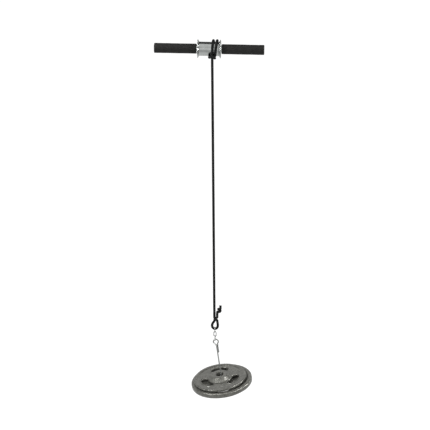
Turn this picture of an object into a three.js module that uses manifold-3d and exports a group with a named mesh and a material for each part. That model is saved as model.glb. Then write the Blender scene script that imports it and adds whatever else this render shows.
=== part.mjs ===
// Wrist roller: a foam-gripped bar with a flanged drum, a rope, a short chain, a hanger and two weight plates.
// Millimetres, +Z up, +X along the bar. The origin is the middle of the bar's axis.

import * as THREE from 'three';
import { mergeVertices } from 'three/addons/utils/BufferGeometryUtils.js';
import Module from 'manifold-3d';

// Fits
const SEAT_GAP = 0.3;
const CUT_OVERRUN = 5;

// Bar
const BAR_LENGTH = 392;
const AXLE_OD = 25.4;
const AXLE_WALL = 2;
const GRIP_FLANGE_GAP = 3.8;
const GRIP_OD = 35.4;
const GRIP_END_ROUND = 3.5;
const PLUG_HEAD_THICKNESS = 3;
const PLUG_SPIGOT_LENGTH = 16;
const PLUG_WALL = 2;
const PLUG_HEAD_CHAMFER = 0.8;

// Drum and its flanges
const DRUM_OD = 50.8;
const DRUM_WALL = 2.5;
const DRUM_LENGTH = 72;
const FLANGE_OD = 67;
const FLANGE_SHEET = 1.6;
const FLANGE_FLARE = 4.4;
const FLANGE_NECK_LENGTH = 8;
const FLANGE_ROOT_ROUND = 1;

// Rope
const ROPE_DIAMETER = 9.5;
const ROPE_LINE_X = 13;
const WRAP_START_DROP = 38;
const EYE_TOP_DROP = 1056;
const TWIST_START_DROP = 1064;
const TWIST_HEIGHT = 17;
const TWIST_TURN_SHARE = 0.5;
const TWIST_RAMP_SHARE = 0.2;
const STRAND_GAP = 1.2;
const TAIL_TURN_RADIUS = 5;
const TAIL_TURNS = 1.25;
const TAIL_TURN_FROM = THREE.MathUtils.degToRad(200);

// Chain of three welded links
const LINK_WIRE = 3;
const LINK_INNER_LENGTH = 18.3;
const LINK_INNER_WIDTH = 5.8;
const TOP_LINK_INNER_WIDTH = 10.4;
const LOOP_SIDE = 1.7;
const LOOP_DROP = 1115.35;

// Hanger: a rod bent to an eye, with a foot that carries the plates
const ROD_DIAMETER = 5;
const EYE_INNER_DIAMETER = 14;
const EYE_CONTACT_ANGLE = THREE.MathUtils.degToRad(35);
const EYE_OPENING_ANGLE = THREE.MathUtils.degToRad(35);
const EYE_NECK = 6;
const EYE_TAIL_LENGTH = 34;
const HANGER_LEAN = THREE.MathUtils.degToRad(7.5);
const PLATE_DROP = 173.3;
const FOOT_DIAMETER = 64;
const FOOT_THICKNESS = 4;
const FOOT_CHAMFER = 1;
const NUT_ACROSS_FLATS = 8;
const NUT_HEIGHT = 4;
const ROD_END_BELOW_NUT = 2.5;

// Weight plates
const PLATE_HOLE_DIAMETER = 30;
const HOLE_CHAMFER = 1.5;
const LARGE_PLATE = {
	diameter: 233,
	rimThickness: 20,
	rimWidth: 13,
	rimRound: 6,
	webThickness: 12,
	hubDiameter: 68,
	hubFront: 11,
	hubBack: 13,
	hubSlope: 4,
	slope: 5,
	slotRadius: 78,
	slotLength: 58,
	slotWidth: 26,
	slotLip: 6,
	slotLipHeight: 2,
	slotTurn: THREE.MathUtils.degToRad(36),
	shift: -1,
	shiftBack: 0,
};
const SMALL_PLATE = {
	diameter: 202,
	rimThickness: 10,
	rimWidth: 11,
	rimRound: 3.6,
	webThickness: 6,
	hubDiameter: 66,
	hubFront: 16.3,
	hubBack: 5.2,
	hubSlope: 11,
	slope: 5,
	slotRadius: 60,
	slotLength: 66,
	slotWidth: 28,
	slotLip: 6,
	slotLipHeight: 2,
	slotTurn: THREE.MathUtils.degToRad(96),
	shift: -5.4,
	shiftBack: -1.9,
};
const SLOT_COUNT = 3;

// Facets
const BAR_SIDES = 40;
const PLATE_SIDES = 56;
const FOOT_SIDES = 32;
const WIRE_SIDES = 8;
const ROPE_SIDES = 10;
const FORM_SIDES = 6;
const LOOP_STEPS = 24;
const ROPE_LINE_STEPS = 40;
const ARC_STEPS = 8;
const ROUND_STEPS = 3;

// Sizes that follow
const ropeRadius = ROPE_DIAMETER / 2;
const drumRadius = DRUM_OD / 2;
const axleRadius = AXLE_OD / 2;
const wrapRadius = drumRadius + SEAT_GAP + ropeRadius;
const ropeLineY = -wrapRadius;
const wireRadius = LINK_WIRE / 2;
const rodRadius = ROD_DIAMETER / 2;
const eyeRadius = EYE_INNER_DIAMETER / 2 + rodRadius;
const holeRadius = PLATE_HOLE_DIAMETER / 2;
const loopX = ROPE_LINE_X + LOOP_SIDE;
const strandRadius = (ROPE_DIAMETER + STRAND_GAP) / 2;
const eyeEndX = ROPE_LINE_X + 2 * strandRadius;

const wasm = await Module();
wasm.setup();

// Turns a geometry into a closed indexed one: vertices are welded, and triangles without area are dropped.
function weld(geometry) {
	const bare = geometry.clone();
	for (const name of Object.keys(bare.attributes)) {
		if (name !== 'position') bare.deleteAttribute(name);
	}
	bare.clearGroups();
	const merged = mergeVertices(bare, 1e-4);
	const index = merged.index.array;
	const kept = [];
	for (let i = 0; i < index.length; i += 3) {
		const [a, b, c] = [index[i], index[i + 1], index[i + 2]];
		if (a !== b && b !== c && c !== a) kept.push(a, b, c);
	}
	merged.setIndex(kept);
	return signedVolume(merged) < 0 ? flipped(merged) : merged;
}

// Six times the volume would do: only the sign is read.
function signedVolume(geometry) {
	const position = geometry.attributes.position;
	const index = geometry.index.array;
	const a = new THREE.Vector3();
	const b = new THREE.Vector3();
	const c = new THREE.Vector3();
	let sum = 0;
	for (let i = 0; i < index.length; i += 3) {
		a.fromBufferAttribute(position, index[i]);
		b.fromBufferAttribute(position, index[i + 1]);
		c.fromBufferAttribute(position, index[i + 2]);
		sum += a.dot(b.cross(c));
	}
	return sum;
}

function flipped(geometry) {
	const index = Array.from(geometry.index.array);
	for (let i = 0; i < index.length; i += 3) {
		[index[i + 1], index[i + 2]] = [index[i + 2], index[i + 1]];
	}
	geometry.setIndex(index);
	return geometry;
}

function toSolid(geometry) {
	const closed = weld(geometry);
	return new wasm.Manifold(new wasm.Mesh({
		numProp: 3,
		vertProperties: new Float32Array(closed.attributes.position.array),
		triVerts: new Uint32Array(closed.index.array),
	}));
}

function fromSolid(solid) {
	const mesh = solid.getMesh();
	const geometry = new THREE.BufferGeometry();
	geometry.setAttribute('position', new THREE.BufferAttribute(new Float32Array(mesh.vertProperties), 3));
	geometry.setIndex(new THREE.BufferAttribute(new Uint32Array(mesh.triVerts), 1));
	return geometry;
}

// A quarter round between two directions of an outline, as points on an arc about a centre.
function arc(centreR, centreH, radius, fromAngle, toAngle, steps = ROUND_STEPS) {
	const points = [];
	for (let i = 0; i <= steps; i++) {
		const angle = fromAngle + (toAngle - fromAngle) * i / steps;
		points.push([centreR + radius * Math.cos(angle), centreH + radius * Math.sin(angle)]);
	}
	return points;
}

// Revolves a closed outline of [radius, height] pairs about Z.
function revolve(outline, sides) {
	const points = [...outline, outline[0]].map(([r, h]) => new THREE.Vector2(r, h));
	return new THREE.LatheGeometry(points, sides).rotateX(Math.PI / 2);
}

// Revolves a closed outline of [radius, x] pairs about X.
function revolveAlongBar(outline, sides = BAR_SIDES) {
	return revolve(outline, sides).rotateY(Math.PI / 2);
}

// A tube of round section along an open curve, with flat ends.
function tube(curve, radius, sides, steps) {
	const section = new THREE.Shape();
	for (let i = 0; i < sides; i++) {
		const angle = i / sides * 2 * Math.PI;
		const [x, y] = [radius * Math.cos(angle), radius * Math.sin(angle)];
		if (i === 0) section.moveTo(x, y);
		else section.lineTo(x, y);
	}
	section.closePath();
	return new THREE.ExtrudeGeometry(section, { steps, extrudePath: curve });
}

// The least gap between a tube and itself, from points along it that are further apart than its bends.
function leastGap(curve, diameter, samples = 500) {
	const points = curve.getSpacedPoints(samples);
	const step = curve.getLength() / samples;
	const apart = Math.ceil(diameter * Math.PI / 2 / step);
	let least = Infinity;
	for (let i = 0; i < points.length; i++) {
		for (let j = i + apart; j < points.length; j++) {
			least = Math.min(least, points[i].distanceTo(points[j]));
		}
	}
	return least - diameter;
}

function smooth(points) {
	return new THREE.CatmullRomCurve3(points, false, 'centripetal');
}

const materials = {
	chrome: () => new THREE.MeshStandardMaterial({ color: 0xb9bdbb, roughness: 0.28, metalness: 0.9 }),
	zinc: () => new THREE.MeshStandardMaterial({ color: 0xb4b6b2, roughness: 0.4, metalness: 0.85 }),
	foam: () => new THREE.MeshStandardMaterial({ color: 0x2c2c2a, roughness: 0.9, metalness: 0 }),
	plastic: () => new THREE.MeshStandardMaterial({ color: 0x1c1c1c, roughness: 0.6, metalness: 0 }),
	rope: () => new THREE.MeshStandardMaterial({ color: 0x151515, roughness: 0.85, metalness: 0 }),
	iron: () => new THREE.MeshStandardMaterial({ color: 0x7d7d76, roughness: 0.5, metalness: 0.35 }),
};

function piece(name, geometry, material) {
	const mesh = new THREE.Mesh(weld(geometry), material);
	mesh.name = name;
	return mesh;
}

// Bar

function axleTube() {
	const outer = axleRadius;
	const inner = axleRadius - AXLE_WALL;
	const half = BAR_LENGTH / 2 - PLUG_HEAD_THICKNESS - SEAT_GAP;
	return revolveAlongBar([[inner, -half], [outer, -half], [outer, half], [inner, half]]);
}

function grip(side) {
	const inner = axleRadius + SEAT_GAP;
	const outer = GRIP_OD / 2;
	const end = BAR_LENGTH / 2;
	const start = DRUM_LENGTH / 2 + FLANGE_FLARE + FLANGE_SHEET / 2 + GRIP_FLANGE_GAP;
	const round = GRIP_END_ROUND;
	const outline = [
		[inner, start],
		...arc(outer - round, start + round, round, -Math.PI / 2, 0),
		...arc(outer - round, end - round, round, 0, Math.PI / 2),
		[inner, end],
	];
	return revolveAlongBar(outline.map(([r, x]) => [r, side * x]));
}

function endPlug(side) {
	const bore = axleRadius - AXLE_WALL - SEAT_GAP;
	const head = axleRadius;
	const end = BAR_LENGTH / 2;
	const shoulder = end - PLUG_HEAD_THICKNESS;
	const tip = shoulder - PLUG_SPIGOT_LENGTH;
	const outline = [
		[bore - PLUG_WALL, tip],
		[bore, tip],
		[bore, shoulder],
		[head, shoulder],
		[head, end - PLUG_HEAD_CHAMFER],
		[head - PLUG_HEAD_CHAMFER, end],
		[0, end],
		[0, shoulder],
		[bore - PLUG_WALL, shoulder],
	];
	return revolveAlongBar(outline.map(([r, x]) => [r, side * x]), FOOT_SIDES);
}

// Drum: a short wide tube between two pressed flanges, whose rims flare outward.

function drum() {
	const half = DRUM_LENGTH / 2 - SEAT_GAP;
	const inner = drumRadius - DRUM_WALL;
	return revolveAlongBar([[inner, -half], [drumRadius, -half], [drumRadius, half], [inner, half]]);
}

function flange(side) {
	const bore = axleRadius + SEAT_GAP;
	const face = DRUM_LENGTH / 2;
	const rim = FLANGE_OD / 2;
	const root = drumRadius + FLANGE_ROOT_ROUND;
	const back = face + FLANGE_SHEET;
	const edge = FLANGE_SHEET / 2;
	const outline = [
		[bore, face - FLANGE_NECK_LENGTH],
		[bore + FLANGE_SHEET, face - FLANGE_NECK_LENGTH],
		[bore + FLANGE_SHEET, face],
		[drumRadius, face],
		[root, face + FLANGE_FLARE * (root - drumRadius) / (rim - drumRadius) / 2],
		[rim - edge, face + FLANGE_FLARE - edge],
		[rim, face + FLANGE_FLARE],
		[rim - edge, back + FLANGE_FLARE - edge],
		[root - edge, back],
		[bore, back],
	];
	return revolveAlongBar(outline.map(([r, x]) => [r, side * x]));
}

// Rope on the drum: two round turns, the second crossing the first at the back, then over its own hanging part.

// Chosen by hand: angle about the bar in degrees from the front, place along the bar, height over the first turn
const WRAP_POINTS = [
	[0, 13, 0], [20, 13.3, 0], [45, 13.8, 0], [70, 14.3, 0], [90, 14.6, 0], [112, 14.8, 0], [135, 14.7, 0],
	[158, 14.3, 0], [180, 13.8, 0], [202, 13.3, 0], [225, 12.8, 0], [248, 12.4, 0], [270, 12.2, 0], [285, 12.7, 0],
	[300, 14.2, 0], [309, 16.2, 0], [316, 18.6, 0], [322, 21, 0], [330, 22.9, 0], [338, 23.6, 0], [350, 24, 0],
	[362, 24.4, 0], [380, 25.2, 0], [405, 26.5, 0], [430, 27.7, 0], [450, 28.2, 0], [475, 28.4, 0], [495, 27.7, 0],
	[508, 26.3, 0.4], [520, 24.1, 3.2], [531, 20.9, 7.5], [543, 17.4, 9.8], [555, 13.8, 10.6], [567, 10.2, 10.2],
	[579, 6.9, 8.4], [591, 4, 5.4], [605, 2, 2], [620, 1.4, 0.3], [640, 1.4, 0], [655, 1.6, 0], [668, 1.9, 0.3],
];
// Chosen by hand: from the drum over the front of the hanging part to the cut end
const HITCH_POINTS = [
	[2.4, -25.6, -21.4], [2.9, -32, -18.9], [4.9, -37.4, -17], [8.8, -40.4, -15.9], [13.4, -41.2, -15.6],
	[17.8, -39.9, -16.6], [21.2, -37, -19.2], [23.2, -34, -22.4],
];

function wrapCurve() {
	const points = [
		new THREE.Vector3(ROPE_LINE_X, ropeLineY, -WRAP_START_DROP),
		new THREE.Vector3(ROPE_LINE_X, ropeLineY, -WRAP_START_DROP * 2 / 3),
		new THREE.Vector3(ROPE_LINE_X, ropeLineY, -WRAP_START_DROP / 3),
	];
	for (const [degrees, x, rise] of WRAP_POINTS) {
		const angle = THREE.MathUtils.degToRad(degrees);
		const radius = wrapRadius + rise;
		points.push(new THREE.Vector3(x, -radius * Math.cos(angle), radius * Math.sin(angle)));
	}
	points.push(...HITCH_POINTS.map(([x, y, z]) => new THREE.Vector3(x, y, z)));
	return smooth(points);
}

function ropeWrap() {
	const curve = wrapCurve();
	console.log('rope wrap least gap', leastGap(curve, ROPE_DIAMETER).toFixed(2), 'length', curve.getLength().toFixed(0));
	const steps = Math.round(curve.getLength() / (ROPE_DIAMETER / 2.4));
	return tube(curve, ropeRadius, FORM_SIDES, steps);
}

// Straight hanging rope from the drum to the eye

function ropeLine() {
	const top = -WRAP_START_DROP - SEAT_GAP;
	const bottom = -EYE_TOP_DROP;
	const curve = new THREE.LineCurve3(
		new THREE.Vector3(ROPE_LINE_X, ropeLineY, top),
		new THREE.Vector3(ROPE_LINE_X, ropeLineY, bottom),
	);
	return tube(curve, ropeRadius, ROPE_SIDES, ROPE_LINE_STEPS);
}

// Rope eye: the hanging part and the end cross in half a turn, with a long loop below.

// A share that starts and stops gently: its rate climbs over the ramp, holds, and falls over the ramp.
function eased(share, ramp) {
	const rate = 1 / (1 - ramp);
	if (share < ramp) return rate * share * share / 2 / ramp;
	if (share > 1 - ramp) return 1 - rate * (1 - share) * (1 - share) / 2 / ramp;
	return rate * (share - ramp / 2);
}

function crossingStrand(startAngle, downward) {
	const points = [];
	for (let i = 0; i <= LOOP_STEPS; i++) {
		const share = i / LOOP_STEPS;
		const angle = startAngle + 2 * Math.PI * TWIST_TURN_SHARE * eased(share, TWIST_RAMP_SHARE);
		points.push(new THREE.Vector3(
			ROPE_LINE_X + strandRadius + strandRadius * Math.cos(angle),
			ropeLineY + strandRadius * Math.sin(angle),
			-TWIST_START_DROP - TWIST_HEIGHT * share,
		));
	}
	return downward ? points : points.reverse();
}

function eyeCurve() {
	// the loop below the crossing, chosen by hand: sideways from the hanging rope, and height from the bar
	const loop = [
		[10.9, -1084.5], [11.6, -1089], [12.3, -1094], [12.6, -1099.4], [12.2, -1104.8], [10.4, -1109.8], [6.6, -1113.9],
		[LOOP_SIDE, -LOOP_DROP], [-3.2, -1113.9], [-7, -1109.8], [-8.8, -1104.8], [-9, -1099.4], [-7.6, -1094],
		[-5, -1089], [-2.1, -1084.8],
	];
	const run = TWIST_START_DROP - EYE_TOP_DROP;
	const straight = [EYE_TOP_DROP + SEAT_GAP, EYE_TOP_DROP + run / 3, EYE_TOP_DROP + run * 2 / 3];
	return smooth([
		...straight.map((drop) => new THREE.Vector3(ROPE_LINE_X, ropeLineY, -drop)),
		...crossingStrand(Math.PI, true),
		...loop.map(([x, z]) => new THREE.Vector3(ROPE_LINE_X + x, ropeLineY, z)),
		...crossingStrand(0, false),
		...straight.reverse().map((drop) => new THREE.Vector3(eyeEndX, ropeLineY, -drop)),
	]);
}

function ropeEye() {
	const curve = eyeCurve();
	console.log('rope eye least gap', leastGap(curve, ROPE_DIAMETER).toFixed(2), 'length', curve.getLength().toFixed(0));
	const steps = Math.round(curve.getLength() / (ROPE_DIAMETER / 3.4));
	return tube(curve, ropeRadius, FORM_SIDES, steps);
}

// Free end: it leaves the eye, makes one tight turn as a stopper and ends just above it.
// Chosen by hand: sideways, back and up from the end of the eye, before and after the turn
const TAIL_BEFORE = [[0, 0, 0], [0, 0, 2.5], [0.1, 0.2, 5], [0.4, 0.2, 9.5]];
const TAIL_AFTER = [[12.7, -4, 32.4], [12.5, -2.6, 35.4], [12.6, -1.2, 38.2], [13, 0, 41]];
const TAIL_TURN_START = [5.9, 0, 14];
const TAIL_TURN_END = [9.9, 0, 27.2];

function tailCurve() {
	const points = TAIL_BEFORE.map(([x, y, z]) => new THREE.Vector3(x, y, z));
	const start = new THREE.Vector3(...TAIL_TURN_START);
	const axis = new THREE.Vector3(...TAIL_TURN_END).sub(start);
	const back = new THREE.Vector3(0, 1, 0);
	const side = new THREE.Vector3().crossVectors(back, axis).normalize();
	const turnSteps = LOOP_STEPS * TAIL_TURNS;
	for (let i = 0; i <= turnSteps; i++) {
		const angle = TAIL_TURN_FROM + i / LOOP_STEPS * 2 * Math.PI;
		points.push(start.clone()
			.addScaledVector(axis, i / turnSteps)
			.addScaledVector(side, TAIL_TURN_RADIUS * Math.cos(angle))
			.addScaledVector(back, TAIL_TURN_RADIUS * Math.sin(angle)));
	}
	points.push(...TAIL_AFTER.map(([x, y, z]) => new THREE.Vector3(x, y, z)));
	const origin = new THREE.Vector3(eyeEndX, ropeLineY, -EYE_TOP_DROP);
	return smooth(points.map((point) => point.add(origin)));
}

function ropeTail() {
	const curve = tailCurve();
	console.log('rope tail least gap', leastGap(curve, ROPE_DIAMETER).toFixed(2), 'length', curve.getLength().toFixed(0));
	const steps = Math.round(curve.getLength() / (ROPE_DIAMETER / 3));
	return tube(curve, ropeRadius, FORM_SIDES, steps);
}

// A link's centreline: two half circles joined by straight wire, in the XZ plane about its middle.
class LinkCurve extends THREE.Curve {
	constructor(innerWidth, innerLength) {
		super();
		this.radius = innerWidth / 2 + wireRadius;
		this.straight = innerLength - innerWidth;
	}
	getPoint(t, target = new THREE.Vector3()) {
		const bend = Math.PI * this.radius;
		const total = 2 * (bend + this.straight);
		let along = (t % 1) * total;
		const half = this.straight / 2;
		if (along < this.straight) return target.set(this.radius, 0, -half + along);
		along -= this.straight;
		if (along < bend) {
			const angle = along / this.radius;
			return target.set(this.radius * Math.cos(angle), 0, half + this.radius * Math.sin(angle));
		}
		along -= bend;
		if (along < this.straight) return target.set(-this.radius, 0, half - along);
		const angle = (along - this.straight) / this.radius + Math.PI;
		return target.set(this.radius * Math.cos(angle), 0, -half + this.radius * Math.sin(angle));
	}
}

function chainLink(innerWidth) {
	const curve = new LinkCurve(innerWidth, LINK_INNER_LENGTH);
	return new THREE.TubeGeometry(curve, ARC_STEPS * 3, wireRadius, WIRE_SIDES, true);
}

// Hanger rod: the shank, the eye and the wire's end along the shank, as one bent rod. The eye's centre is the origin.

function hangerCurve() {
	const rodEnd = PLATE_DROP + LARGE_PLATE.hubBack + FOOT_THICKNESS + NUT_HEIGHT + 2 * SEAT_GAP + ROD_END_BELOW_NUT;
	const neck = eyeRadius + EYE_NECK;
	const beside = (ROD_DIAMETER + 2 * SEAT_GAP) / Math.SQRT2;
	const start = -Math.PI / 2 - EYE_OPENING_ANGLE;
	const turn = 2 * (Math.PI - EYE_OPENING_ANGLE);
	const points = [
		new THREE.Vector3(0, 0, -rodEnd),
		new THREE.Vector3(0, 0, -rodEnd / 2),
		new THREE.Vector3(0, 0, -neck - EYE_NECK),
		new THREE.Vector3(-rodRadius / 4, 0, -neck),
	];
	for (let i = 0; i <= 2 * ARC_STEPS; i++) {
		const angle = start - turn * i / (2 * ARC_STEPS);
		points.push(new THREE.Vector3(eyeRadius * Math.cos(angle), 0, eyeRadius * Math.sin(angle)));
	}
	points.push(
		new THREE.Vector3(beside * 1.25, beside / 2, -neck),
		new THREE.Vector3(beside, beside, -neck - EYE_NECK),
		new THREE.Vector3(beside, beside, -neck - EYE_TAIL_LENGTH),
	);
	return smooth(points);
}

function hangerRod() {
	const curve = hangerCurve();
	console.log('hanger rod least gap', leastGap(curve, ROD_DIAMETER).toFixed(2));
	const steps = Math.round(curve.getLength() / (ROD_DIAMETER * 0.75));
	return tube(curve, rodRadius, WIRE_SIDES, steps);
}

function footDisc() {
	const bore = rodRadius + SEAT_GAP;
	const rim = FOOT_DIAMETER / 2;
	return revolve([
		[bore, -FOOT_THICKNESS],
		[rim - FOOT_CHAMFER, -FOOT_THICKNESS],
		[rim, -FOOT_THICKNESS + FOOT_CHAMFER],
		[rim, -FOOT_CHAMFER],
		[rim - FOOT_CHAMFER, 0],
		[bore, 0],
	], FOOT_SIDES);
}

function footNut() {
	const corner = NUT_ACROSS_FLATS / Math.sqrt(3);
	const shape = new THREE.Shape();
	for (let i = 0; i < 6; i++) {
		const angle = i * Math.PI / 3;
		if (i === 0) shape.moveTo(corner, 0);
		else shape.lineTo(corner * Math.cos(angle), corner * Math.sin(angle));
	}
	shape.closePath();
	const bore = new THREE.Path();
	bore.absarc(0, 0, rodRadius + SEAT_GAP, 0, 2 * Math.PI, true);
	shape.holes.push(bore);
	return new THREE.ExtrudeGeometry(shape, { depth: NUT_HEIGHT, bevelEnabled: false, curveSegments: ARC_STEPS });
}

// Weight plate about its own middle: a round with rim, web and hub, and finger slots with raised lips.

function plateOutline(plate) {
	const rim = plate.diameter / 2;
	const half = plate.rimThickness / 2;
	const web = plate.webThickness / 2;
	const hub = plate.hubDiameter / 2;
	const round = plate.rimRound;
	const rimInner = rim - plate.rimWidth;
	return [
		[holeRadius, -plate.hubBack + HOLE_CHAMFER],
		[holeRadius + HOLE_CHAMFER, -plate.hubBack],
		[hub - plate.slope / 2, -plate.hubBack],
		[hub, -plate.hubBack + plate.slope / 2],
		[hub + plate.slope / 2, -web],
		[rimInner - plate.slope, -web],
		[rimInner, -half],
		...arc(rim - round, -half + round, round, -Math.PI / 2, 0),
		...arc(rim - round, half - round, round, 0, Math.PI / 2),
		[rimInner, half],
		[rimInner - plate.slope, web],
		[hub + plate.hubSlope, web],
		[hub - plate.slope / 4, plate.hubFront],
		[holeRadius + HOLE_CHAMFER, plate.hubFront],
		[holeRadius, plate.hubFront - HOLE_CHAMFER],
	];
}

// A slot that follows a circle about the plate's middle, with round ends, grown by a margin.
function slotShape(plate, margin) {
	const halfWidth = plate.slotWidth / 2 + margin;
	const reach = (plate.slotLength - plate.slotWidth) / 2 / plate.slotRadius;
	const outer = plate.slotRadius + halfWidth;
	const inner = plate.slotRadius - halfWidth;
	const shape = new THREE.Shape();
	shape.absarc(0, 0, outer, -reach, reach, false);
	const [endX, endY] = [plate.slotRadius * Math.cos(reach), plate.slotRadius * Math.sin(reach)];
	shape.absarc(endX, endY, halfWidth, reach, reach + Math.PI, false);
	shape.absarc(0, 0, inner, reach, -reach, true);
	shape.absarc(endX, -endY, halfWidth, Math.PI - reach, 2 * Math.PI - reach, false);
	return shape;
}

function slotLip(plate) {
	const height = plate.webThickness + 2 * plate.slotLipHeight;
	const bevel = plate.slotLipHeight;
	const options = {
		depth: height - 2 * bevel,
		bevelEnabled: true,
		bevelThickness: bevel,
		bevelSize: bevel,
		bevelSegments: 1,
		curveSegments: ARC_STEPS / 2,
	};
	return new THREE.ExtrudeGeometry(slotShape(plate, plate.slotLip - bevel), options)
		.translate(0, 0, -height / 2 + bevel);
}

// The opening: straight through, and wider at both faces.
function slotOpening(plate) {
	const height = plate.webThickness + 2 * plate.slotLipHeight;
	const through = height + 2 * CUT_OVERRUN;
	const straight = new THREE.ExtrudeGeometry(
		slotShape(plate, 0),
		{ depth: through, bevelEnabled: false, curveSegments: ARC_STEPS / 2 },
	).translate(0, 0, -through / 2);
	const mouth = new THREE.ExtrudeGeometry(slotShape(plate, 0), {
		depth: CUT_OVERRUN,
		bevelEnabled: true,
		bevelThickness: plate.slotLip / 2,
		bevelSize: plate.slotLip / 2,
		bevelSegments: 1,
		curveSegments: ARC_STEPS / 2,
	});
	const front = mouth.clone().translate(0, 0, height / 2);
	const back = mouth.clone().translate(0, 0, -height / 2 - CUT_OVERRUN);
	return toSolid(straight).add(toSolid(front)).add(toSolid(back));
}

function weightPlate(plate) {
	let solid = toSolid(revolve(plateOutline(plate), PLATE_SIDES));
	const lip = toSolid(slotLip(plate));
	const opening = slotOpening(plate);
	for (let i = 0; i < SLOT_COUNT; i++) {
		const degrees = THREE.MathUtils.radToDeg(plate.slotTurn) + 360 / SLOT_COUNT * i;
		solid = solid.add(lip.rotate([0, 0, degrees])).subtract(opening.rotate([0, 0, degrees]));
	}
	return fromSolid(solid);
}

// Assembly

const wristRoller = new THREE.Group();

const roller = new THREE.Group();
roller.add(piece('axle_tube', axleTube(), materials.chrome()));
roller.add(piece('spool_drum', drum(), materials.chrome()));
for (const [name, side] of [['left', -1], ['right', 1]]) {
	roller.add(piece(`${name}_flange`, flange(side), materials.chrome()));
	roller.add(piece(`${name}_grip`, grip(side), materials.foam()));
	roller.add(piece(`${name}_end_plug`, endPlug(side), materials.plastic()));
}
roller.add(piece('rope_wrap', ropeWrap(), materials.rope()));
wristRoller.add(roller);

wristRoller.add(piece('rope_line', ropeLine(), materials.rope()));
wristRoller.add(piece('rope_eye', ropeEye(), materials.rope()));
wristRoller.add(piece('rope_tail', ropeTail(), materials.rope()));

// Each link hangs with the top of its hole on what it hangs from, and the middle one is turned a quarter.
const linkStep = LINK_INNER_LENGTH - SEAT_GAP;
const firstLinkTop = -LOOP_DROP + ropeRadius + SEAT_GAP;
const links = [
	['top_link', TOP_LINK_INNER_WIDTH, Math.PI / 2],
	['middle_link', LINK_INNER_WIDTH, 0],
	['bottom_link', LINK_INNER_WIDTH, Math.PI / 2],
];
links.forEach(([name, innerWidth, turn], i) => {
	const link = piece(name, chainLink(innerWidth), materials.zinc());
	link.rotation.z = turn;
	link.position.set(loopX, ropeLineY, firstLinkTop - i * linkStep - LINK_INNER_LENGTH / 2);
	wristRoller.add(link);
});

// The eye hangs on the bottom link's wire, a little left of its own top.
const lastWireZ = firstLinkTop - (links.length - 1) * linkStep - LINK_INNER_LENGTH - wireRadius;
const eyeReach = EYE_INNER_DIAMETER / 2 - wireRadius - SEAT_GAP;
const hanger = new THREE.Group();
hanger.position.set(
	loopX + eyeReach * Math.sin(EYE_CONTACT_ANGLE),
	ropeLineY,
	lastWireZ - eyeReach * Math.cos(EYE_CONTACT_ANGLE),
);
hanger.rotation.y = -HANGER_LEAN;
hanger.add(piece('hanger_rod', hangerRod(), materials.zinc()));

const footTop = -PLATE_DROP - LARGE_PLATE.hubBack - SEAT_GAP;
const foot = piece('foot_disc', footDisc(), materials.zinc());
foot.position.z = footTop;
hanger.add(foot);

const nut = piece('foot_nut', footNut(), materials.zinc());
nut.position.z = footTop - FOOT_THICKNESS - SEAT_GAP - NUT_HEIGHT;
hanger.add(nut);

const largePlate = piece('large_plate', weightPlate(LARGE_PLATE), materials.iron());
largePlate.position.set(LARGE_PLATE.shift, LARGE_PLATE.shiftBack, -PLATE_DROP);
hanger.add(largePlate);

const smallPlate = piece('small_plate', weightPlate(SMALL_PLATE), materials.iron());
const smallPlateRise = LARGE_PLATE.hubFront + SEAT_GAP + SMALL_PLATE.hubBack;
smallPlate.position.set(SMALL_PLATE.shift, SMALL_PLATE.shiftBack, smallPlateRise - PLATE_DROP);
hanger.add(smallPlate);
wristRoller.add(hanger);

export default wristRoller;
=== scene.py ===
import math
import bmesh
import bpy
from mathutils import Matrix, Vector, noise


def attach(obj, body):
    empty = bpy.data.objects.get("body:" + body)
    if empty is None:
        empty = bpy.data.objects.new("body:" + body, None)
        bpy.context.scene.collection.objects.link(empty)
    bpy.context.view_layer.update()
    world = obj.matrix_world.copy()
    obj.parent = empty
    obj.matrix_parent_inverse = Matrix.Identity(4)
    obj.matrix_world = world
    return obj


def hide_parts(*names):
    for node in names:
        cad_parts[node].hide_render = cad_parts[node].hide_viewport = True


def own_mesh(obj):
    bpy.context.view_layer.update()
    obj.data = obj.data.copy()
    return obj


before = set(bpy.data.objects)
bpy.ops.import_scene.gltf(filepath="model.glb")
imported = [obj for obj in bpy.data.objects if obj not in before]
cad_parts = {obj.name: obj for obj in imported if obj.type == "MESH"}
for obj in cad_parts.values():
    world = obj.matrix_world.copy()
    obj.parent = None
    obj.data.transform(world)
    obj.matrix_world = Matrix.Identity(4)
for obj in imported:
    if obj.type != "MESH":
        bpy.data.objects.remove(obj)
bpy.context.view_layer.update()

# Lengths are in millimetres, and MM turns them into metres. Names that end in _M are in metres already.
MM = 0.001
TURN = 2 * math.pi
scene = bpy.context.scene

# Driving sizes, the same as in the part's source. The origin is the middle of the bar's axis.
SEAT = 0.3
BAR_HALF, AXLE_R, AXLE_WALL = 196.0, 12.7, 2.0
GRIP_R, GRIP_START = 17.7, 45.0
PLUG_HEAD, PLUG_SPIGOT, PLUG_WALL = 3.0, 16.0, 2.0
DRUM_HALF, DRUM_R, DRUM_WALL = 36.0, 25.4, 2.5
FLANGE_R, FLANGE_SHEET, FLANGE_NECK = 33.5, 1.6, 8.0
ROPE_R, WRAP_START, STRAND_GAP = 4.75, 38.0, 1.2
EYE_TOP, CROSS_TOP, CROSS_HEIGHT = 1056.0, 1064.0, 17.0
LOOP_SIDE, LOOP_DROP = 1.7, 1115.35
WIRE_R, LINK_LENGTH, LINK_WIDTH, TOP_LINK_WIDTH = 1.5, 18.3, 5.8, 10.4
ROD_R, EYE_INNER_R, EYE_NECK, EYE_TAIL = 2.5, 7.0, 6.0, 34.0
EYE_CONTACT, EYE_OPENING, LEAN = math.radians(35), math.radians(35), math.radians(7.5)
PLATE_DROP, HOLE_R = 173.3, 15.0
FOOT_R, FOOT_THICKNESS = 32.0, 4.0
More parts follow.
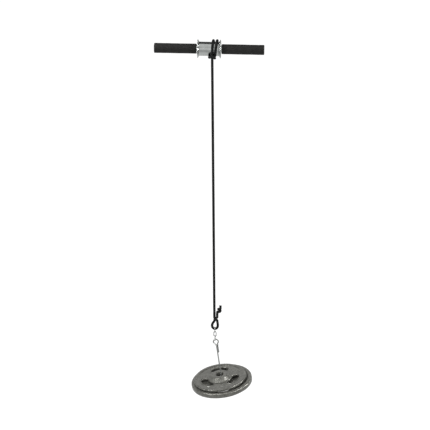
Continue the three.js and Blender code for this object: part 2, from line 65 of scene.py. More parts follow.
NUT_ACROSS, NUT_HEIGHT, ROD_BELOW_NUT = 8.0, 4.0, 2.5


# Camera: solved from the photograph, the image taken as 430 x 430 pixels
FOCAL_PX, IMAGE_PX = 2000.0, 430.0
ORIGIN_PX = (209.15, 48.9)
YAW, PITCH, ROLL = math.radians(4.51), math.radians(25.5), math.radians(0.47)
DISTANCE_M, VIEW_END_M = 7.107, 60.0
SENSOR = 36.0


def add_camera():
    """A camera that sees the bar's middle at its pixel of the photograph."""
    forward = Vector((-math.sin(YAW) * math.cos(PITCH), math.cos(YAW) * math.cos(PITCH), -math.sin(PITCH)))
    level = Vector((math.cos(YAW), math.sin(YAW), 0))
    upright = level.cross(forward)
    right = level * math.cos(ROLL) - upright * math.sin(ROLL)
    up = level * math.sin(ROLL) + upright * math.cos(ROLL)
    off_x = (ORIGIN_PX[0] - IMAGE_PX / 2) / FOCAL_PX * DISTANCE_M
    off_y = -(ORIGIN_PX[1] - IMAGE_PX / 2) / FOCAL_PX * DISTANCE_M
    place = -(forward * DISTANCE_M + right * off_x + up * off_y)
    data = bpy.data.cameras.new("camera")
    data.sensor_width = SENSOR
    data.lens = FOCAL_PX / IMAGE_PX * SENSOR
    data.clip_end = VIEW_END_M
    camera = bpy.data.objects.new("camera", data)
    scene.collection.objects.link(camera)
    axes = Matrix((right, up, -forward)).transposed()
    camera.matrix_world = Matrix.Translation(place) @ axes.to_4x4()
    scene.camera = camera


add_camera()


# Mesh helpers

WELD_DISTANCE_M = 1e-7


def add_mesh(name, verts, faces, material=None, sharp=35, uv=None):
    """An object of places in metres. Edges steeper than the sharp angle, in degrees, stay sharp."""
    mesh = bpy.data.meshes.new(name)
    mesh.from_pydata([Vector(v) for v in verts], [], faces)
    if uv:
        layer = mesh.uv_layers.new(name="UVMap")
        for loop, place in zip(layer.data, uv):
            loop.uv = place
    mesh.validate()
    mesh.update()
    mesh.shade_smooth()
    if sharp:
        mesh.set_sharp_from_angle(angle=math.radians(sharp))
    obj = bpy.data.objects.new(name, mesh)
    scene.collection.objects.link(obj)
    if material:
        mesh.materials.append(material)
    return obj


def metres(x, y, z):
    return (x * MM, y * MM, z * MM)


def face_outward(obj):
    bm = bmesh.new()
    bm.from_mesh(obj.data)
    bmesh.ops.remove_doubles(bm, verts=bm.verts, dist=WELD_DISTANCE_M)
    bmesh.ops.recalc_face_normals(bm, faces=bm.faces)
    bm.to_mesh(obj.data)
    bm.free()


def band_faces(rings, sides, closed):
    """Four-sided faces between rings of points, the last one joined to the first if closed."""
    faces = []
    for i in range(rings if closed else rings - 1):
        j = (i + 1) % rings
        for k in range(sides):
            m = (k + 1) % sides
            faces.append((i * sides + k, i * sides + m, j * sides + m, j * sides + k))
    return faces


def lathe(name, outline, material, sides=128, axis="x", sharp=35):
    """A closed outline of (radius, height) pairs, turned about an axis."""
    verts = []
    for i in range(sides):
        angle = TURN * i / sides
        for radius, height in outline:
            across, up = radius * math.cos(angle), radius * math.sin(angle)
            verts.append(metres(height, across, up) if axis == "x" else metres(across, up, height))
    obj = add_mesh(name, verts, band_faces(sides, len(outline), True), material, sharp)
    face_outward(obj)
    return obj


# Line helpers

SPAN_SAMPLES = 24
LEAST_GAP = 1e-9


def between(start, end, start_knot, end_knot, knot):
    span = end_knot - start_knot
    return start * ((end_knot - knot) / span) + end * ((knot - start_knot) / span)


def smooth_line(points, step):
    """Points along a centripetal Catmull-Rom curve, about a step apart."""
    pts = [Vector(p) for p in points]
    pts = [pts[0] * 2 - pts[1]] + pts + [pts[-1] * 2 - pts[-2]]
    samples = []
    for i in range(1, len(pts) - 2):
        p0, p1, p2, p3 = pts[i - 1:i + 3]
        knots = [0.0]
        for a, b in ((p0, p1), (p1, p2), (p2, p3)):
            knots.append(knots[-1] + math.sqrt(max((b - a).length, LEAST_GAP)))
        t0, t1, t2, t3 = knots
        for k in range(SPAN_SAMPLES):
            t = t1 + (t2 - t1) * k / SPAN_SAMPLES
            a1 = between(p0, p1, t0, t1, t)
            a2 = between(p1, p2, t1, t2, t)
            a3 = between(p2, p3, t2, t3, t)
            b1 = between(a1, a2, t0, t2, t)
            b2 = between(a2, a3, t1, t3, t)
            samples.append(between(b1, b2, t1, t2, t))
    samples.append(pts[-2])
    return even(samples, step)


def even(points, step):
    """The same line with points at equal distances, about a step."""
    total = line_length(points)
    count = max(2, round(total / step))
    out, gone, target = [points[0].copy()], 0.0, total / count
    for a, b in zip(points, points[1:]):
        length = (b - a).length
        while gone + length >= target - LEAST_GAP and len(out) < count:
            out.append(a.lerp(b, (target - gone) / length if length else 0))
            target += total / count
        gone += length
    out.append(points[-1].copy())
    return out


def line_length(points):
    return sum((b - a).length for a, b in zip(points, points[1:]))


def untwisted_normals(tangents, closed):
    """One normal for each tangent, turned no more than the line bends, and meeting again if it is closed."""
    normals = [tangents[0].orthogonal().normalized()]
    for before, here in zip(tangents, tangents[1:]):
        normals.append((before.rotation_difference(here) @ normals[-1]).normalized())
    if not closed:
        return normals
    first = tangents[0]
    back = tangents[-1].rotation_difference(first) @ normals[-1]
    twist = math.atan2(back.cross(normals[0]).dot(first), back.dot(normals[0]))
    return [Matrix.Rotation(twist * i / len(normals), 3, tangent) @ normal
            for i, (tangent, normal) in enumerate(zip(tangents, normals))]


def tube(name, pts, radius, material, sides, closed=False, lay=1.0, sharp=60):
    """A round tube along points. Its radius is a function of the length along it and the share round it.

    Its UVs run round it and along it, in lengths of lay.
    """
    count = len(pts)
    along = [0.0]
    for a, b in zip(pts, pts[1:]):
        along.append(along[-1] + (b - a).length)
    if closed:
        chords = [pts[(i + 1) % count] - pts[i - 1] for i in range(count)]
        along.append(along[-1] + (pts[0] - pts[-1]).length)
    else:
        chords = [pts[min(i + 1, count - 1)] - pts[max(i - 1, 0)] for i in range(count)]
    tangents = [chord.normalized() for chord in chords]
    verts = []
    for i, normal in enumerate(untwisted_normals(tangents, closed)):
        side = tangents[i].cross(normal)
        for k in range(sides):
            angle = TURN * k / sides
            outward = normal * math.cos(angle) + side * math.sin(angle)
            verts.append((pts[i] + outward * radius(along[i], k / sides)) * MM)
    faces = band_faces(count, sides, closed)
    uv = []
    for start, end in zip(along, along[1:]):
        v0, v1 = start / lay, end / lay
        for k in range(sides):
            u0, u1 = k / sides, (k + 1) / sides
            uv += [(u0, v0), (u1, v0), (u1, v1), (u0, v1)]
    if not closed:
        faces.append(tuple(reversed(range(sides))))
        faces.append(tuple((count - 1) * sides + k for k in range(sides)))
        uv += [(0.5, 0)] * sides + [(0.5, along[-1] / lay)] * sides
    return add_mesh(name, verts, faces, material, sharp, uv)


# Material helpers

LOW_STOP, HIGH_STOP = 0.3, 0.7


def new_material(name):
    made = bpy.data.materials.new(name)
    made.use_nodes = True
    return made, made.node_tree, made.node_tree.nodes["Principled BSDF"]


def math_node(tree, operation, a, b=None):
    made = tree.nodes.new("ShaderNodeMath")
    made.operation = operation
    for socket, value in zip(made.inputs, (a, b)):
        if isinstance(value, (int, float)):
            socket.default_value = value
        elif value is not None:
            tree.links.new(value, socket)
    return made.outputs[0]


def weighted(tree, *terms):
    """The sum of (value, weight) terms."""
    parts = [math_node(tree, "MULTIPLY", value, weight) for value, weight in terms]
    total = parts[0]
    for part in parts[1:]:
        total = math_node(tree, "ADD", total, part)
    return total


def ramp(tree, source, target, *stops):
    """Feeds a socket with the colours that a source has at (place, colour) stops. A number is a grey."""
    made = tree.nodes.new("ShaderNodeValToRGB")
    elements = made.color_ramp.elements
    while len(elements) < len(stops):
        elements.new(0.5)
    for element, (place, colour) in zip(elements, stops):
        element.position = place
        element.color = (*colour, 1) if isinstance(colour, tuple) else (colour, colour, colour, 1)
    tree.links.new(source, made.inputs["Fac"])
    tree.links.new(made.outputs["Color"], target)


def blend(tree, source, target, low, high):
    ramp(tree, source, target, (LOW_STOP, low), (HIGH_STOP, high))


def bumps(tree, shader, *layers):
    """Layers of (height, strength, distance in metres), each over the one before."""
    normal = None
    for height, strength, distance in layers:
        made = tree.nodes.new("ShaderNodeBump")
        made.inputs["Strength"].default_value = strength
        made.inputs["Distance"].default_value = distance
        tree.links.new(height, made.inputs["Height"])
        if normal:
            tree.links.new(normal, made.inputs["Normal"])
        normal = made.outputs["Normal"]
    tree.links.new(normal, shader.inputs["Normal"])


def object_place(tree):
    return tree.nodes.new("ShaderNodeTexCoord").outputs["Object"]


def noise_tex(tree, where, scale, detail, roughness, stretch=None):
    if stretch:
        mapping = tree.nodes.new("ShaderNodeMapping")
        mapping.inputs["Scale"].default_value = stretch
        tree.links.new(where, mapping.inputs["Vector"])
        where = mapping.outputs["Vector"]
    made = tree.nodes.new("ShaderNodeTexNoise")
    made.inputs["Scale"].default_value = scale
    made.inputs["Detail"].default_value = detail
    made.inputs["Roughness"].default_value = roughness
    tree.links.new(where, made.inputs["Vector"])
    return made.outputs["Fac"]


def cell_tex(tree, where, scale, smoothness=None):
    made = tree.nodes.new("ShaderNodeTexVoronoi")
    made.inputs["Scale"].default_value = scale
    if smoothness is not None:
        made.feature = "SMOOTH_F1"
        made.inputs["Smoothness"].default_value = smoothness
    tree.links.new(where, made.inputs["Vector"])
    return made.outputs["Distance"]


# Materials

STRANDS, BRAID_LAY, CROWN_POWER = 8, 3.8, 0.6


def metal_material(name, base, rough, wear, grain=(1, 9, 9)):
    """Plated steel: a faint cloud in colour and gloss, fine scratches and a slightly uneven surface."""
    mat, tree, shader = new_material(name)
    where = object_place(tree)
    shader.inputs["Metallic"].default_value = 1.0
    cloud = noise_tex(tree, where, scale=38, detail=5, roughness=0.6)
    fine = noise_tex(tree, where, scale=900, detail=2, roughness=0.5)
    scratch = noise_tex(tree, where, scale=420, detail=3, roughness=0.6, stretch=grain)
    worn = tuple(c * (1 - wear) for c in base)
    blend(tree, cloud, shader.inputs["Base Color"], low=worn, high=base)
    mixed = weighted(tree, (cloud, 0.5), (scratch, 0.5))
    blend(tree, mixed, shader.inputs["Roughness"], low=rough * 0.8, high=rough * 1.4)
    bumps(tree, shader, (cloud, 0.12, 0.0010), (scratch, 0.10, 0.0002), (fine, 0.06, 0.0001))
    return mat


def foam_material():
    """Black closed-cell foam: a matt skin of fine pores over a soft, uneven surface."""
    mat, tree, shader = new_material("foam")
    where = object_place(tree)
    pores = cell_tex(tree, where, scale=1500)
    dimples = cell_tex(tree, where, scale=620)
    patch = noise_tex(tree, where, scale=60, detail=5, roughness=0.6)
    grain = noise_tex(tree, where, scale=1200, detail=3, roughness=0.7)
    mixed = weighted(tree, (patch, 0.7), (grain, 0.3))
    blend(tree, mixed, shader.inputs["Base Color"], low=(0.007, 0.007, 0.0066), high=(0.015, 0.015, 0.0142))
    blend(tree, grain, shader.inputs["Roughness"], low=0.72, high=0.92)
    shader.inputs["Specular IOR Level"].default_value = 0.20
    bumps(tree, shader, (dimples, 0.35, 0.0003), (pores, 0.5, 0.0002), (patch, 0.3, 0.0012))
    return mat


def rope_material():
    """A round braid: two families of strands that cross over and under each other. Its colour has painted
    shade in the grooves between the strands.
    """
    mat, tree, shader = new_material("rope_braid")
    uv = tree.nodes.new("ShaderNodeUVMap")
    uv.uv_map = "UVMap"
    split = tree.nodes.new("ShaderNodeSeparateXYZ")
    tree.links.new(uv.outputs["UV"], split.inputs["Vector"])
    around = math_node(tree, "MULTIPLY", split.outputs["X"], STRANDS)
    families = [math_node(tree, operation, around, split.outputs["Y"]) for operation in ("ADD", "SUBTRACT")]
    crowns = []
    for strand in families:
        centred = math_node(tree, "SUBTRACT", math_node(tree, "FRACT", strand), 0.5)
        twice = math_node(tree, "MULTIPLY", math_node(tree, "ABSOLUTE", centred), 2.0)
        crowns.append(math_node(tree, "SUBTRACT", 1.0, twice))
    parity = math_node(tree, "ADD", *[math_node(tree, "FLOOR", strand) for strand in families])
    over = math_node(tree, "ROUND", math_node(tree, "PINGPONG", parity, 1.0))
    under = math_node(tree, "SUBTRACT", 1.0, over)
    crown = weighted(tree, (crowns[0], over), (crowns[1], under))
    height = math_node(tree, "POWER", crown, CROWN_POWER)
    where = object_place(tree)
    fibre = noise_tex(tree, where, scale=1500, detail=3, roughness=0.7)
    fuzz = noise_tex(tree, where, scale=220, detail=4, roughness=0.6)
    cloudy = math_node(tree, "ADD", 0.7, math_node(tree, "MULTIPLY", fuzz, 0.5))
    mixed = math_node(tree, "MULTIPLY", height, cloudy)
    # Painted shade: the base colour is darker where the braid is low, in the grooves between the strands,
    # with a random cloud from the fuzz.
    ramp(tree, mixed, shader.inputs["Base Color"], (0.1, 0.002), (0.9, 0.009))
    blend(tree, fibre, shader.inputs["Roughness"], low=0.6, high=0.8)
    shader.inputs["Specular IOR Level"].default_value = 0.12
    bumps(tree, shader, (height, 0.5, 0.0005), (fibre, 0.4, 0.0002))
    return mat


def iron_material():
    """Grey hammertone paint on a sand casting."""
    mat, tree, shader = new_material("hammertone_iron")
    where = object_place(tree)
    cells = cell_tex(tree, where, scale=300, smoothness=0.6)
    coarse = noise_tex(tree, where, scale=95, detail=4, roughness=0.55)
    wide = noise_tex(tree, where, scale=22, detail=5, roughness=0.6)
    speck = noise_tex(tree, where, scale=700, detail=3, roughness=0.6)
    mixed = weighted(tree, (coarse, 0.5), (wide, 0.25), (speck, 0.25))
    ramp(tree, mixed, shader.inputs["Base Color"],
         (0.34, (0.096, 0.0953, 0.084)), (0.5, (0.143, 0.142, 0.127)), (0.68, (0.225, 0.223, 0.203)))
    shader.inputs["Metallic"].default_value = 0.6
    blend(tree, coarse, shader.inputs["Roughness"], low=0.24, high=0.40)
    shader.inputs["Coat Weight"].default_value = 0.45
    shader.inputs["Coat Roughness"].default_value = 0.20
    bumps(tree, shader, (cells, 0.40, 0.0006), (coarse, 0.60, 0.0014), (wide, 0.40, 0.0030))
    return mat


def plug_material():
    """Black moulded plastic with a matt grain."""
    mat, tree, shader = new_material("plug_plastic")
    where = object_place(tree)
    grain = noise_tex(tree, where, scale=800, detail=3, roughness=0.6)
    cloud = noise_tex(tree, where, scale=60, detail=3, roughness=0.5)
    blend(tree, cloud, shader.inputs["Base Color"], low=0.012, high=0.02)
    blend(tree, grain, shader.inputs["Roughness"], low=0.42, high=0.6)
    bumps(tree, shader, (grain, 0.2, 0.0001))
    return mat


CHROME = metal_material("chrome_plate", base=(0.55, 0.57, 0.56), rough=0.23, wear=0.14)
SATIN = metal_material("satin_plate", base=(0.49, 0.507, 0.496), rough=0.20, wear=0.22)
ZINC = metal_material("zinc_plate", base=(0.42, 0.43, 0.42), rough=0.42, wear=0.2, grain=(1, 1, 1))
FOAM = foam_material()
ROPE = rope_material()
IRON = iron_material()
PLUG = plug_material()


def finish_piece(obj, body, node):
    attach(obj, body)
    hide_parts(node)


# Rope: the same routes as the solids. It hangs down the front of the drum.

LINE_X = 13.0
WRAP_R = DRUM_R + SEAT + ROPE_R
LINE_Y = -WRAP_R
STRAND_R = ROPE_R + STRAND_GAP / 2
EYE_END_X = LINE_X + 2 * STRAND_R
LINE_TOP, LINE_END = -WRAP_START - SEAT / 2, -EYE_TOP - SEAT / 2
ROPE_SIDES = 32
EASING_PASSES = 4
BRAID_BASE, BRAID_HEIGHT = -0.28, 0.34
CROSS_STEPS, RAMP_SHARE = 24, 0.2
TAIL_STEPS, TAIL_STEPS_PER_TURN = 30, 24

# Angle about the bar in degrees from the front, place along it, height over the first turn
WRAP_POINTS = [
    (0, 13, 0), (20, 13.3, 0), (45, 13.8, 0), (70, 14.3, 0), (90, 14.6, 0), (112, 14.8, 0),
    (135, 14.7, 0), (158, 14.3, 0), (180, 13.8, 0), (202, 13.3, 0), (225, 12.8, 0), (248, 12.4, 0),
    (270, 12.2, 0), (285, 12.7, 0), (300, 14.2, 0), (309, 16.2, 0), (316, 18.6, 0), (322, 21, 0),
    (330, 22.9, 0), (338, 23.6, 0), (350, 24, 0), (362, 24.4, 0), (380, 25.2, 0), (405, 26.5, 0),
    (430, 27.7, 0), (450, 28.2, 0), (475, 28.4, 0), (495, 27.7, 0), (508, 26.3, 0.4), (520, 24.1, 3.2),
    (531, 20.9, 7.5), (543, 17.4, 9.8), (555, 13.8, 10.6), (567, 10.2, 10.2), (579, 6.9, 8.4),
    (591, 4, 5.4), (605, 2, 2), (620, 1.4, 0.3), (640, 1.4, 0), (655, 1.6, 0), (668, 1.9, 0.3),
]
# The end of the turns goes over the hanging part
HITCH_POINTS = [
    (2.4, -25.6, -21.4), (2.9, -32, -18.9), (4.9, -37.4, -17), (8.8, -40.4, -15.9), (13.4, -41.2, -15.6),
    (17.8, -39.9, -16.6), (21.2, -37, -19.2), (23.2, -34, -22.4),
]
# The loop below the crossing, sideways from the hanging rope, and height from the bar
LOOP_POINTS = [
    (10.9, -1084.5), (11.6, -1089), (12.3, -1094), (12.6, -1099.4), (12.2, -1104.8), (10.4, -1109.8),
    (6.6, -1113.9), (LOOP_SIDE, -LOOP_DROP), (-3.2, -1113.9), (-7, -1109.8), (-8.8, -1104.8), (-9, -1099.4),
    (-7.6, -1094), (-5, -1089), (-2.1, -1084.8),
]
# Sideways, back and up from the end of the eye, before, through and after the knot's turn
TAIL_BEFORE = [(0, 0, -SEAT / 2), (0, 0, 2.5), (0.1, 0.2, 5), (0.4, 0.2, 9.5)]
TAIL_TURN_START, TAIL_TURN_END = Vector((5.9, 0, 14)), Vector((9.9, 0, 27.2))
TAIL_TURN_R, TAIL_TURN_FROM = 5, math.radians(200)
TAIL_AFTER = [(12.7, -4, 32.4), (12.5, -2.6, 35.4), (12.6, -1.2, 38.2), (13, 0, 41)]


def drum_route():
    route = [(LINE_X, LINE_Y, z) for z in (LINE_TOP, -WRAP_START * 2 / 3, -WRAP_START / 3)]
    for degrees, x, rise in WRAP_POINTS:
        angle = math.radians(degrees)
        route.append((x, -(WRAP_R + rise) * math.cos(angle), (WRAP_R + rise) * math.sin(angle)))
    return route + HITCH_POINTS


def eased(share):
    """A share that starts and stops gently: its rate climbs over the ramp, holds, and falls over the ramp."""
    rate = 1 / (1 - RAMP_SHARE)
    if share < RAMP_SHARE:
        return rate * share * share / 2 / RAMP_SHARE
    if share > 1 - RAMP_SHARE:
        return 1 - rate * (1 - share) ** 2 / 2 / RAMP_SHARE
    return rate * (share - RAMP_SHARE / 2)


def crossing_strand(start):
    """One of the two strands that go half a turn round each other, from the top down."""
    out = []
    for i in range(CROSS_STEPS + 1):
        angle = start + math.pi * eased(i / CROSS_STEPS)
        out.append((LINE_X + STRAND_R + STRAND_R * math.cos(angle), LINE_Y + STRAND_R * math.sin(angle),
                    -CROSS_TOP - CROSS_HEIGHT * i / CROSS_STEPS))
    return out


def eye_route():
    run = (CROSS_TOP - EYE_TOP) / 3
    straight = [LINE_END, -EYE_TOP - run, -EYE_TOP - 2 * run]
    return ([(LINE_X, LINE_Y, z) for z in straight]
            + crossing_strand(math.pi)
            + [(LINE_X + x, LINE_Y, z) for x, z in LOOP_POINTS]
            + crossing_strand(0)[::-1]
            + [(EYE_END_X, LINE_Y, z) for z in reversed(straight)])


def tail_route():
    axis = TAIL_TURN_END - TAIL_TURN_START
    side = Vector((0, 1, 0)).cross(axis).normalized()
    points = [Vector(p) for p in TAIL_BEFORE]
    for i in range(TAIL_STEPS + 1):
        angle = TAIL_TURN_FROM + TURN * i / TAIL_STEPS_PER_TURN
        points.append(TAIL_TURN_START + axis * (i / TAIL_STEPS) + side * (TAIL_TURN_R * math.cos(angle))
                      + Vector((0, TAIL_TURN_R * math.sin(angle), 0)))
    points += [Vector(p) for p in TAIL_AFTER]
    return [tuple(p + Vector((EYE_END_X, LINE_Y, -EYE_TOP))) for p in points]


def braid_relief(along, around):
    """The rope's radius: two families of strands that go over and under each other, as in the material."""
    one, two = around * STRANDS + along / BRAID_LAY, around * STRANDS - along / BRAID_LAY
    over = (math.floor(one) + math.floor(two)) % 2
    strand = one if over else two
    crown = 1 - abs((strand % 1) - 0.5) * 2
    return ROPE_R + BRAID_BASE + BRAID_HEIGHT * crown ** CROWN_POWER


def rope(name, route, body, node):
    """A length of rope. Its bends are eased a little, and its cut ends are flat."""
    pts = smooth_line(route, BRAID_LAY / 4)
    for _ in range(EASING_PASSES):
        pts = pts[:1] + [(p + 2 * q + r) / 4 for p, q, r in zip(pts, pts[1:], pts[2:])] + pts[-1:]
    obj = tube(name, pts, braid_relief, ROPE, ROPE_SIDES, lay=BRAID_LAY, sharp=None)
    for end in obj.data.polygons[-2:]:
        end.use_smooth = False
    finish_piece(obj, body, node)
    return obj


line_route = [(LINE_X, LINE_Y, LINE_TOP), (LINE_X, LINE_Y, LINE_END)]
hanging = rope("hanging_rope", line_route, "line", "rope_line")
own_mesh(hanging)
rope("drum_rope", drum_route(), "roller", "rope_wrap")
rope("loop_rope", eye_route(), "load", "rope_eye")
rope("end_rope", tail_route(), "load", "rope_tail")


# Outline helpers

NEARLY_STRAIGHT = 0.02
REACH_SHARE = 0.49


def mirrored(outline, side):
    return [(radius, side * height) for radius, height in outline]


def ring_outline(bore, rim, start, end, bore_edge, rim_edge):
    """A tube or disc as (radius, height, fillet) corners."""
    return [(bore, start, bore_edge), (rim, start, rim_edge), (rim, end, rim_edge), (bore, end, bore_edge)]


def dense(outline, step):
    """The same closed outline with points no further apart than a step."""
    out = []
    for (r0, h0), (r1, h1) in zip(outline, outline[1:] + outline[:1]):
        count = max(1, math.ceil(math.hypot(r1 - r0, h1 - h0) / step))
        out += [(r0 + (r1 - r0) * i / count, h0 + (h1 - h0) * i / count) for i in range(count)]
    return out


def rounded(outline, steps=5):
    """A closed outline of (radius, height, fillet) corners with each corner rounded by its fillet."""
    out = []
    count = len(outline)
    for i, (_, _, fillet) in enumerate(outline):
        before, here, after = (Vector(outline[(i + d) % count][:2]) for d in (-1, 0, 1))
        a, b = before - here, after - here
        angle = a.angle(b) if a.length and b.length else math.pi
        if not fillet or angle > math.pi - NEARLY_STRAIGHT:
            out.append(tuple(here))
            continue
        reach = min(fillet / math.tan(angle / 2), a.length * REACH_SHARE, b.length * REACH_SHARE)
        start, end = here + a.normalized() * reach, here + b.normalized() * reach
        for k in range(steps + 1):
            t = k / steps
            out.append(tuple(start * (1 - t) ** 2 + here * (2 * t * (1 - t)) + end * t * t))
    return out


def wobble(obj, amount, scale):
    """Moves a surface in and out a little, as a soft or cast one is never quite true."""
    mesh = obj.data
    normals = [v.normal.copy() for v in mesh.vertices]
    for vert, normal in zip(mesh.vertices, normals):
        vert.co += normal * (noise.noise(vert.co * scale) * amount * MM)
    mesh.update()


# Bar: two foam grips, the axle tube, its end plugs, the drum and its flanges

BORE_GAP = 0.2
PLUG_SPIGOT_R = 10.4
PLUG_RING_R, PLUG_RING_DEPTH, PLUG_RING_TOP, PLUG_RING_FLOOR = 7.4, 0.5, 0.8, 0.4
ON_AXIS = 0.001
# The flange's rolled rim, in from its edge and out from the drum's end, with each fillet
FLANGE_RIM = [(1.3, 3.5, 0.6), (0.4, 3.1, 0.7), (0, 4.5, 0.7), (0.7, 5.3, 0.7), (1.9, 5.1, 0.6)]
FLANGE_ROOT_OUT, FLANGE_ROOT_RISE, FLANGE_BACK_OUT = 1.2, 0.15, 0.5


def grip(name, side):
    outline = ring_outline(AXLE_R + BORE_GAP, GRIP_R, GRIP_START, BAR_HALF, bore_edge=0.6, rim_edge=3.2)
    outline = dense(rounded(outline, steps=8), step=2.5)
    obj = lathe(name, mirrored(outline, side), FOAM, sides=96, sharp=60)
    wobble(obj, amount=0.30, scale=45)
    wobble(obj, amount=0.10, scale=260)
    return obj


def end_plug(name, side):
    """A head over the tube's end, with a ring groove in it, and a hollow spigot in the tube."""
    hollow = PLUG_SPIGOT_R - PLUG_WALL
    neck, tip = BAR_HALF - PLUG_HEAD, BAR_HALF - PLUG_HEAD - PLUG_SPIGOT
    floor = BAR_HALF - PLUG_RING_DEPTH
    outline = [
        (hollow, tip, 0.5), (PLUG_SPIGOT_R, tip, 0.8), (PLUG_SPIGOT_R, neck, 0.2),
        (AXLE_R, neck, 0.5), (AXLE_R, BAR_HALF, 1.1),
        (PLUG_RING_R + PLUG_RING_TOP, BAR_HALF, 0.2), (PLUG_RING_R + PLUG_RING_FLOOR, floor, 0.2),
        (PLUG_RING_R - PLUG_RING_FLOOR, floor, 0.2), (PLUG_RING_R - PLUG_RING_TOP, BAR_HALF, 0.2),
        (ON_AXIS, BAR_HALF, 0), (ON_AXIS, neck, 0), (hollow, neck, 0.5),
    ]
    return lathe(name, mirrored(rounded(outline), side), PLUG, sides=72)


def flange(name, side):
    """A pressed sheet: a neck on the axle, a web against the drum's end, and a flared, rolled rim."""
    bore, face, back = AXLE_R + BORE_GAP, DRUM_HALF, DRUM_HALF + FLANGE_SHEET
    outline = [
        (bore, face - FLANGE_NECK, 0.3), (bore + FLANGE_SHEET, face - FLANGE_NECK, 0.3),
        (bore + FLANGE_SHEET, face - BORE_GAP, 0.4), (DRUM_R, face, 0),
        (DRUM_R + FLANGE_ROOT_OUT, face + FLANGE_ROOT_RISE, 0.5),
        *[(FLANGE_R - inward, face + outward, fillet) for inward, outward, fillet in FLANGE_RIM],
        (DRUM_R + FLANGE_BACK_OUT, back, 2.5), (bore, back, 0.4),
    ]
    return lathe(name, mirrored(rounded(outline), side), CHROME)


def axle_tube():
    half = BAR_HALF - PLUG_HEAD - BORE_GAP
    outline = ring_outline(AXLE_R - AXLE_WALL, AXLE_R, -half, half, bore_edge=0.3, rim_edge=0.3)
    return lathe("axle", rounded(outline), CHROME, sides=96)


def drum_tube():
    half = DRUM_HALF - SEAT
    outline = ring_outline(DRUM_R - DRUM_WALL, DRUM_R, -half, half, bore_edge=0.3, rim_edge=0.4)
    obj = lathe("drum", dense(rounded(outline), step=3), SATIN)
    wobble(obj, amount=0.08, scale=60)
    return obj


for name, side in (("left", -1), ("right", 1)):
    finish_piece(grip(name + "_foam_grip", side), "roller", name + "_grip")
    finish_piece(end_plug(name + "_plug", side), "roller", name + "_end_plug")
    finish_piece(flange(name + "_pressed_flange", side), "roller", name + "_flange")
finish_piece(axle_tube(), "roller", "axle_tube")
finish_piece(drum_tube(), "roller", "spool_drum")


# Chain of three welded links, each hanging with the top of its hole on what it hangs from

LINK_X = LINE_X + LOOP_SIDE
LINK_TOP = -LOOP_DROP + ROPE_R + SEAT
LINK_STEP = LINK_LENGTH - SEAT
LINKS = [("top", TOP_LINK_WIDTH, True), ("middle", LINK_WIDTH, False), ("bottom", LINK_WIDTH, True)]
LINK_SPANS = 14
WELD_LENGTH, WELD_BULGE_SHARE = 1.1, 0.14
RIPPLE_MIDDLE, RIPPLE_SWING, RIPPLE_ROUND, RIPPLE_ALONG = 0.8, 0.4, 14, 3


def link(name, inner_width, middle_z, turned):
    """A round-ended wire link with its weld halfway up one side. A turned one faces along the bar."""
    radius, half = inner_width / 2 + WIRE_R, (LINK_LENGTH - inner_width) / 2
    spans = range(LINK_SPANS)
    rises = [-half + 2 * half * i / LINK_SPANS for i in spans]
    bends = [math.pi * i / LINK_SPANS for i in spans]
    pts = [(radius, rise) for rise in rises]
    pts += [(radius * math.cos(bend), half + radius * math.sin(bend)) for bend in bends]
    pts += [(-radius, -rise) for rise in rises]
    pts += [(-radius * math.cos(bend), -half - radius * math.sin(bend)) for bend in bends]
    middle = Vector((LINK_X, LINE_Y, middle_z))
    pts = [middle + Vector((0, across, rise) if turned else (across, 0, rise)) for across, rise in pts]

    def wire_radius(along, around):
        weld = math.exp(-((along - half) / WELD_LENGTH) ** 2)
        ripple = RIPPLE_MIDDLE + RIPPLE_SWING * math.sin(around * RIPPLE_ROUND + along * RIPPLE_ALONG)
        return WIRE_R * (1 + WELD_BULGE_SHARE * weld * ripple)

    return tube(name, pts, wire_radius, ZINC, sides=20, closed=True)


for i, (name, width, turned) in enumerate(LINKS):
    obj = link(name + "_welded_link", width, LINK_TOP - i * LINK_STEP - LINK_LENGTH / 2, turned)
    finish_piece(obj, "link_%d" % (i + 1), name + "_link")


# Hanger: a wire bent to an eye, with a threaded end, a foot disc and a nut. Its origin is the eye's centre.

WIRE_BOTTOM = LINK_TOP - (len(LINKS) - 1) * LINK_STEP - LINK_LENGTH - WIRE_R
EYE_REACH = EYE_INNER_R - WIRE_R - SEAT
HANGER_X = LINK_X + EYE_REACH * math.sin(EYE_CONTACT)
HANGER_Z = WIRE_BOTTOM - EYE_REACH * math.cos(EYE_CONTACT)
HANG = Matrix.Translation(Vector((HANGER_X, LINE_Y, HANGER_Z)) * MM) @ Matrix.Rotation(-LEAN, 4, "Y")

LARGE = dict(diameter=233, rim=20, rim_width=13, round=6, web=12,
             hub=68, hub_front=11, hub_back=13, hub_slope=4,
             slot_radius=78, slot_length=58, slot_width=26, turn=math.radians(36), shift=(-1, 0))
SMALL = dict(diameter=202, rim=10, rim_width=11, round=3.6, web=6,
             hub=66, hub_front=16.3, hub_back=5.2, hub_slope=11,
             slot_radius=60, slot_length=66, slot_width=28, turn=math.radians(96), shift=(-5.4, -1.9))
FOOT_TOP = -PLATE_DROP - LARGE["hub_back"] - SEAT
NUT_TOP = FOOT_TOP - FOOT_THICKNESS - SEAT
ROD_END = NUT_TOP - NUT_HEIGHT - ROD_BELOW_NUT
EYE_SPANS = 16
ROD_STEP, ROD_SIDES = 0.8, 28
THREAD_LENGTH, THREAD_PITCH, THREAD_INSET, THREAD_DEPTH = 22, 0.8, 0.12, 0.22
TIP_LENGTH, TIP_CUT = 0.7, 0.5
NUT_SIDES, NUT_BORE_R = 72, 2.7
# Share of the nut's height, and how much its corners are turned off there
NUT_RINGS = [(0, 0.55), (0.12, 0), (0.88, 0), (1, 0.55)]


